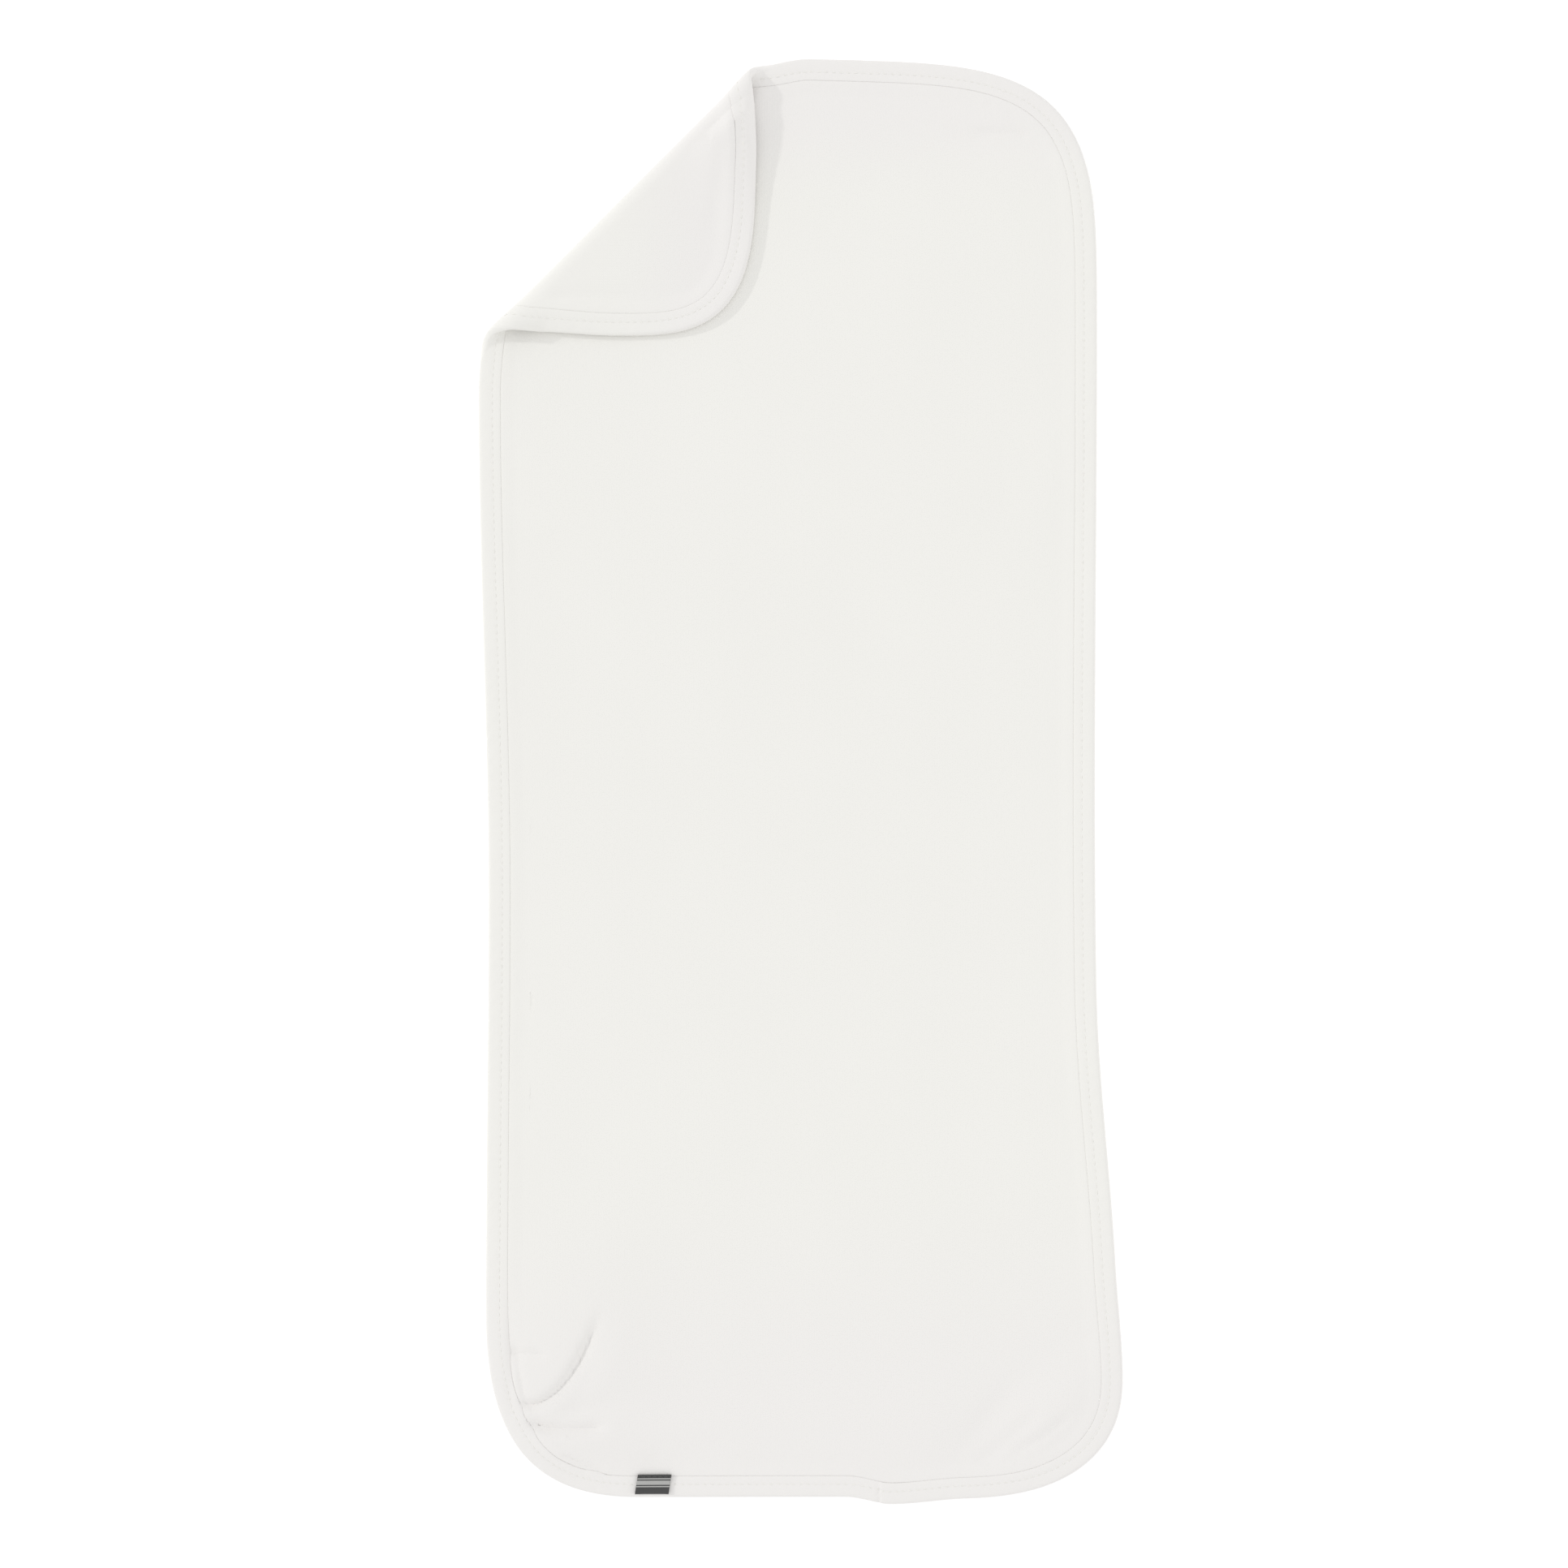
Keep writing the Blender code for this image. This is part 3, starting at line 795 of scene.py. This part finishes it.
full = smooth((inside - RIM_PRESSED_TO) / (RIM_FULL_FROM - RIM_PRESSED_TO))
thickness = panel.vertex_groups.new(name="thickness")
for index, share in enumerate(RIM_SHARE + (1 - RIM_SHARE) * full):
    thickness.add([index], share, "REPLACE")
body = panel.modifiers.new("two faces", "SOLIDIFY")
body.thickness = PANEL_THICKNESS * MM
body.offset = 0
body.vertex_group = thickness.name
bpy.ops.object.modifier_apply(modifier=body.name)
panel.vertex_groups.clear()
panel.data.materials.append(panel_jersey)
panel.data.shade_smooth()
print("the laid panel has", len(panel.data.polygons), "faces")

# %% [markdown]
# The binding
#
# Binding is a strip folded over the raw edge. Seen in section its outer part is a soft roll,
# the topstitch pulls a groove into it, and its inner edge stands up a little again. A curve
# with that section as its bevel runs round the pattern's edge, and the mesh it gives is laid
# on the table in the same way as the panel. At the lap the strip's upper end is folded over
# its start: a small step with a pressed line in front of it, which thins out to the right.

# %% Roll the binding round the edge
BINDING_WIDTH = 7.7
BINDING_SECTION = (
    # distance from the outer edge, height over the middle of the cloth
    (0.0, 0.0),
    (0.06, 0.55),
    (0.25, 1.0),
    (0.7, 1.25),
    (1.4, 1.37),
    (2.4, 1.41),
    (3.6, 1.37),
    (4.4, 1.3),
    (STITCH_LINE, 1.2),
    (5.2, 1.26),
    (6.2, 1.25),
    (7.1, 1.19),
    (7.5, 1.11),
    (BINDING_WIDTH, 1.02),
    (7.6, 0.85),
    (5.0, 0.8),
    (1.4, 0.8),
    (0.75, 0.4),
)
TOP_OF_SECTION = 14
BINDING_STEP = 0.7
# Points at least this high over the cloth's middle are on the binding's outer faces.
OUTER_FROM = 0.82
STITCH_PITCH = 2.6
STITCH_DIMPLE = 0.07
DIMPLE_HALF_WIDTH = 0.9
# The roll drags a little to one side between the stitches.
BINDING_RIPPLE = 0.09
ROLL_AT = 2.4
ROLL_HALF_WIDTH = 1.6
DRAG_LENGTH = 6.1
DRAG_SLANT = 0.9
# The rolled edge sags by this much on to whatever it lies on.
EDGE_SAG = 0.8
SAG_WIDTH = 0.6
SAG_NONE_AT = 1.5
LAP_X = 27.9
LAP_RISE = 0.55
LAP_STEP = 0.8
LAP_LENGTH = 24.0
# A line is pressed into the lower end just in front of the step.
LAP_PRESS = 0.3
LAP_PRESS_BEFORE = 0.7
LAP_PRESS_HALF_WIDTH = 0.45
# Towards the binding's inner edge the lap is sewn down flat.
LAP_BELOW_Y = 9.0
LAP_FLATTENED = 4.0


def lap_rise(flat):
    """The extra height where the binding's upper end lies over its lower end."""
    past = flat[:, 0] - LAP_X
    step = np.clip(past / LAP_STEP + 0.5, 0, 1)
    thinning = np.clip(1 - past / LAP_LENGTH, 0, 1)
    pressed = -LAP_PRESS * np.exp(-(((past + LAP_PRESS_BEFORE) / LAP_PRESS_HALF_WIDTH) ** 2))
    flattened = smooth((LAP_BELOW_Y - flat[:, 1]) / LAP_FLATTENED)
    return (LAP_RISE * step * thinning + pressed) * flattened


def closed_line(name, points):
    """A closed poly curve through points in the plane."""
    data = bpy.data.curves.new(name, "CURVE")
    data.dimensions = "3D"
    line = data.splines.new("POLY")
    line.points.add(len(points) - 1)
    for spot, (x, y) in zip(line.points, points):
        spot.co = (x, y, 0, 1)
    line.use_cyclic_u = True
    made = bpy.data.objects.new(name, data)
    bpy.context.collection.objects.link(made)
    return made


under = [(distance, -height) for distance, height in reversed(BINDING_SECTION[1:])]
section = closed_line("section", [(-d, h) for d, h in (*BINDING_SECTION, *under)])
stations, _, _ = edge.at(np.arange(0, edge.length, BINDING_STEP))
binding = closed_line("binding", stations)
binding.data.bevel_mode = "OBJECT"
binding.data.bevel_object = section
binding.data.twist_mode = "Z_UP"
bpy.ops.object.select_all(action="DESELECT")
binding.select_set(True)
bpy.context.view_layer.objects.active = binding
bpy.ops.object.convert(target="MESH")
binding = bpy.context.object
bpy.data.objects.remove(section)

points = read_points(binding)
flat, height = points[:, :2], points[:, 2]
inside, around = from_edge(flat)
signs = np.sign(height)
outer = np.abs(height) > OUTER_FROM
near_seam = np.exp(-(((inside - STITCH_LINE) / DIMPLE_HALF_WIDTH) ** 2))
dimple = STITCH_DIMPLE * near_seam * np.cos(math.tau * around / STITCH_PITCH)
roll = np.exp(-(((inside - ROLL_AT) / ROLL_HALF_WIDTH) ** 2))
dragged = np.sin(math.tau * (around + DRAG_SLANT * inside) / DRAG_LENGTH)
drag = roll * uneven(around, inside) * dragged
turned = np.clip((flat @ FOLD_DIRECTION - FOLD_AT) / BEND_LENGTH, 0, 1)
sag = EDGE_SAG * np.exp(-((inside / SAG_WIDTH) ** 2)) * (1 - np.abs(height) / SAG_NONE_AT)
height = height + signs * outer * (dimple + BINDING_RIPPLE * drag) - sag * np.cos(math.pi * turned)
height += (signs > 0) * outer * lap_rise(flat)
girth = np.where(height >= 0, BINDING_WIDTH - inside, BINDING_WIDTH + inside)
keep_pattern(binding, around, girth)
keep_pattern(binding, flat[:, 0], flat[:, 1], "cloth")
write_points(binding, lay(flat, height))
binding.data.materials.append(binding_jersey)
binding.data.shade_smooth()
print("the binding has", len(binding.data.polygons), "faces")
print("its highest point is", round(height.max(), 2), "mm over the cloth's middle")

# %% [markdown]
# The topstitch
#
# The thread is spun cotton, 0.34 mm thick, in stitches of 2.6 mm on both faces. Each stitch
# rises a little in its middle and dives into the cloth at its ends. One stitch is a stretched
# sphere with few faces, and it is repeated round the edge in one joined mesh.

# %% Sew round the binding
THREAD = 0.34
THREAD_PROUD = 0.25
STITCH_LENGTH = 2.25
STITCH_DIVE = 0.22
GROOVE_HEIGHT = 1.2


def make_stitch():
    """One stitch along +X, in millimetres, with its ends bent down."""
    bpy.ops.object.select_all(action="DESELECT")
    bpy.ops.mesh.primitive_uv_sphere_add(segments=6, ring_count=6, radius=0.5)
    stitch = bpy.context.object
    points = read_points(stitch)[:, [2, 0, 1]] * (STITCH_LENGTH, THREAD, THREAD)
    points[:, 2] -= STITCH_DIVE * (points[:, 0] / STITCH_LENGTH * 2) ** 2
    faces = [tuple(face.vertices) for face in stitch.data.polygons]
    bpy.data.objects.remove(stitch)
    return points, faces


def sew_line(name, place, way, inwards, height, stitch=None):
    """Copies the stitch to each place, along its way, as one laid mesh."""
    shape, faces = stitch or make_stitch()
    flat = (
        place[:, None, :]
        + way[:, None, :] * shape[None, :, :1]
        + inwards[:, None, :] * shape[None, :, 1:2]
    ).reshape(-1, 2)
    heights = (height[:, None] + np.sign(height)[:, None] * shape[None, :, 2]).ravel()
    points = lay(flat, heights)
    size = len(shape)
    copies = [
        tuple(vert + size * copy for vert in face) for copy in range(len(place)) for face in faces
    ]
    data = bpy.data.meshes.new(name)
    data.from_pydata(points.tolist(), [], copies)
    made = bpy.data.objects.new(name, data)
    bpy.context.collection.objects.link(made)
    data.shade_smooth()
    return made


stitch_count = round(edge.length / STITCH_PITCH)
stitch_places = (np.arange(stitch_count) + 0.5) * edge.length / stitch_count
point, way, inwards = edge.at(stitch_places)
seam = point + inwards * STITCH_LINE
thread_height = np.full(stitch_count, GROOVE_HEIGHT + THREAD * THREAD_PROUD)
front_stitches = sew_line("topstitch_front", seam, way, inwards, thread_height + lap_rise(seam))
back_stitches = sew_line("topstitch_back", seam, way, inwards, -thread_height)
print(stitch_count, "stitches on each face")

# %% [markdown]
# The thread
#
# Cotton sewing thread is two plies twisted together, smoother and a little brighter than the
# jersey. The twist is finer than the photo shows, so it is a slanted bump on the stitches.

# %% Make the thread material
PLY_LENGTH = 0.35 * MM


def make_thread(name, colour):
    material, tree, surface = new_material(name)
    surface.inputs["Base Color"].default_value = linear(colour)
    surface.inputs["Roughness"].default_value = 0.7
    surface.inputs["Specular IOR Level"].default_value = 0.35
    place = add_node(tree, "ShaderNodeTexCoord")
    turned = add_node(
        tree,
        "ShaderNodeMapping",
        links={0: place.outputs["Object"], "Rotation": (0, 0, math.radians(45))},
    )
    plies = add_node(
        tree,
        "ShaderNodeTexWave",
        {"wave_type": "BANDS"},
        {"Vector": turned.outputs[0], "Scale": 1 / (6.28 * PLY_LENGTH), "Distortion": 0.4},
    )
    ply_bump = add_node(
        tree,
        "ShaderNodeBump",
        links={"Height": plies.outputs[1], "Strength": 0.5, "Distance": 0.05 * MM},
    )
    tree.links.new(ply_bump.outputs[0], surface.inputs["Normal"])
    return material


white_thread = make_thread("twisted white cotton thread", "#F5F4F0")
dark_thread = make_thread("twisted dark cotton thread", "#3C3C3C")
for piece in (front_stitches, back_stitches):
    piece.data.materials.append(white_thread)

# %% [markdown]
# The label
#
# A woven label is satin tape, folded in half with the fold hanging free and its cut ends
# sewn down at the binding's inner edge. It starts as a grid whose length is walked down one
# layer, round the fold and back up the other. Its weave is fine ribs across the tape, and it
# carries only plain light stripes.

# %% Fold the label
LABEL_X = -51.3
LABEL_WIDTH = 11.8
LABEL_LEAN = -1.0
LABEL_FROM = 1.7
LABEL_TO = 8.4
LABEL_LAYER = 0.32
LABEL_TURN = 0.2
LABEL_CLEAR = 0.2
# It bridges the groove instead of dipping under this height, and its free corners curl up.
LABEL_BRIDGE = 1.3
LABEL_CURL = 0.25
EDGE_Y = OUTLINE[0][2]

bpy.ops.object.select_all(action="DESELECT")
bpy.ops.mesh.primitive_grid_add(x_subdivisions=36, y_subdivisions=64, size=1)
label = bpy.context.object
label.name = "label_tape"
grid = read_points(label)
run = LABEL_TO - LABEL_FROM - LABEL_TURN
turn_length = math.pi * LABEL_TURN
walked = (0.5 - grid[:, 1]) * (2 * run + turn_length)
turning = np.clip((walked - run) / LABEL_TURN, 0, math.pi)
back_up = np.maximum(walked - run - turn_length, 0)
distance = LABEL_TO - np.minimum(walked, run) - LABEL_TURN * np.sin(turning) + back_up
layer_height = LABEL_TURN * (1 + np.cos(turning))
low_profile = np.array(BINDING_SECTION[:TOP_OF_SECTION])
resting = np.interp(distance, low_profile[:, 0], low_profile[:, 1])
resting = np.maximum(resting, LABEL_BRIDGE)
share = (LABEL_TO - distance) / (LABEL_TO - LABEL_FROM)
curl = LABEL_CURL * share**3 * (2 * grid[:, 0]) ** 4
sideways = LABEL_X + LABEL_LEAN * share + grid[:, 0] * LABEL_WIDTH
flat = np.column_stack((sideways, EDGE_Y + distance))
keep_pattern(label, grid[:, 0] * LABEL_WIDTH, distance + LABEL_TURN * turning)
label_height = resting + LABEL_CLEAR + LABEL_LAYER / 2 + layer_height + curl
write_points(label, lay(flat, label_height))
tape = label.modifiers.new("tape", "SOLIDIFY")
tape.thickness = LABEL_LAYER * MM
tape.offset = 0
bpy.context.view_layer.objects.active = label
bpy.ops.object.modifier_apply(modifier=tape.name)
label.data.shade_smooth()
print("the label is", LABEL_WIDTH, "by", round(LABEL_TO - LABEL_FROM, 1), "mm")

# %% Make the label's woven material
RIB = 0.3 * MM
WARP_SHARE = 0.4
STRIPES = (
    # middle of a light stripe up the tape, and its half width, in metres
    (5.7 * MM, 0.75 * MM),
    (4.3 * MM, 0.2 * MM),
    (7.1 * MM, 0.2 * MM),
)
label_material, tree, surface = new_material("woven satin tape")
uv = add_node(tree, "ShaderNodeUVMap", {"uv_map": "pattern"})
axes = add_node(tree, "ShaderNodeSeparateXYZ", links={0: uv.outputs[0]})
light = None
for middle, half_width in STRIPES:
    away = add_node(
        tree, "ShaderNodeMath", {"operation": "SUBTRACT"}, {0: axes.outputs["Y"], 1: middle}
    )
    size = add_node(tree, "ShaderNodeMath", {"operation": "ABSOLUTE"}, {0: away.outputs[0]})
    stripe = add_node(
        tree, "ShaderNodeMath", {"operation": "LESS_THAN"}, {0: size.outputs[0], 1: half_width}
    )
    if light is None:
        light = stripe
    else:
        light = add_node(
            tree,
            "ShaderNodeMath",
            {"operation": "MAXIMUM"},
            {0: light.outputs[0], 1: stripe.outputs[0]},
        )
# The ribs run across the tape, and the warp ends, which run up it, show half as much.
waves = []
for axis in ("Y", "X"):
    turn = add_node(
        tree, "ShaderNodeMath", {"operation": "MULTIPLY"}, {0: axes.outputs[axis], 1: math.tau / RIB}
    )
    waves.append(add_node(tree, "ShaderNodeMath", {"operation": "SINE"}, {0: turn.outputs[0]}))
rib, end = waves
weave = add_node(
    tree,
    "ShaderNodeMath",
    {"operation": "MULTIPLY_ADD"},
    {0: end.outputs[0], 1: WARP_SHARE, 2: rib.outputs[0]},
)
weave_bump = add_node(
    tree,
    "ShaderNodeBump",
    links={"Height": weave.outputs[0], "Strength": 0.6, "Distance": 0.06 * MM},
)
tape_colour = add_node(
    tree,
    "ShaderNodeMix",
    {"data_type": "RGBA"},
    {0: light.outputs[0], 6: linear("#454545"), 7: linear("#B9B9B7")},
)
tree.links.new(tape_colour.outputs[2], surface.inputs["Base Color"])
tree.links.new(weave_bump.outputs[0], surface.inputs["Normal"])
surface.inputs["Roughness"].default_value = 0.55
label.data.materials.append(label_material)

# %% Sew the label down
LABEL_STITCHES = 6
LABEL_SEAM_IN = 0.6
LABEL_SEAM_SUNK = 0.18
across = (np.arange(LABEL_STITCHES) + 0.5) / LABEL_STITCHES - 0.5
seam_y = np.full(LABEL_STITCHES, EDGE_Y + LABEL_TO - LABEL_SEAM_IN)
sewn_at = np.column_stack((LABEL_X + across * LABEL_WIDTH, seam_y))
right = np.tile((1.0, 0.0), (LABEL_STITCHES, 1))
upwards = np.tile((0.0, 1.0), (LABEL_STITCHES, 1))
top_of_label = np.full(LABEL_STITCHES, label_height.max() - LABEL_SEAM_SUNK)
stitch_shape, stitch_faces = make_stitch()
small = (stitch_shape * (0.7, 0.8, 0.8), stitch_faces)
label_stitches = sew_line("label_stitches", sewn_at, right, upwards, top_of_label, small)
label_stitches.data.materials.append(dark_thread)

# %% [markdown]
# The table's finish
#
# The ground in the photo is pure white right up to the cloth. The table is matt acrylic that
# also glows a little, so that the cloth's soft shadow stays light on it.

# %% Finish the table
TABLE_GLOW = 0.22
table_material, tree, surface = new_material("lit white acrylic")
surface.inputs["Base Color"].default_value = linear("#F6F6F6")
surface.inputs["Roughness"].default_value = 0.6
surface.inputs["Emission Color"].default_value = (1, 1, 1, 1)
surface.inputs["Emission Strength"].default_value = TABLE_GLOW
table.data.materials.append(table_material)

# %% [markdown]
# The pieces on the body
#
# Each piece rides on the one body. The panel, the binding and the label stand for their solids,
# which are hidden.

for piece, node, slot in (
    (panel, "cloth_panel", "panel_knit"),
    (binding, "edge_binding", "binding_knit"),
    (label, "label", "label_weave"),
):
    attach(piece, "root")
    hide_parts(node)
for piece, slot in (
    (front_stitches, "binding_knit"),
    (back_stitches, "binding_knit"),
    (label_stitches, "label_weave"),
):
    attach(piece, "root")

bpy.context.view_layer.update()
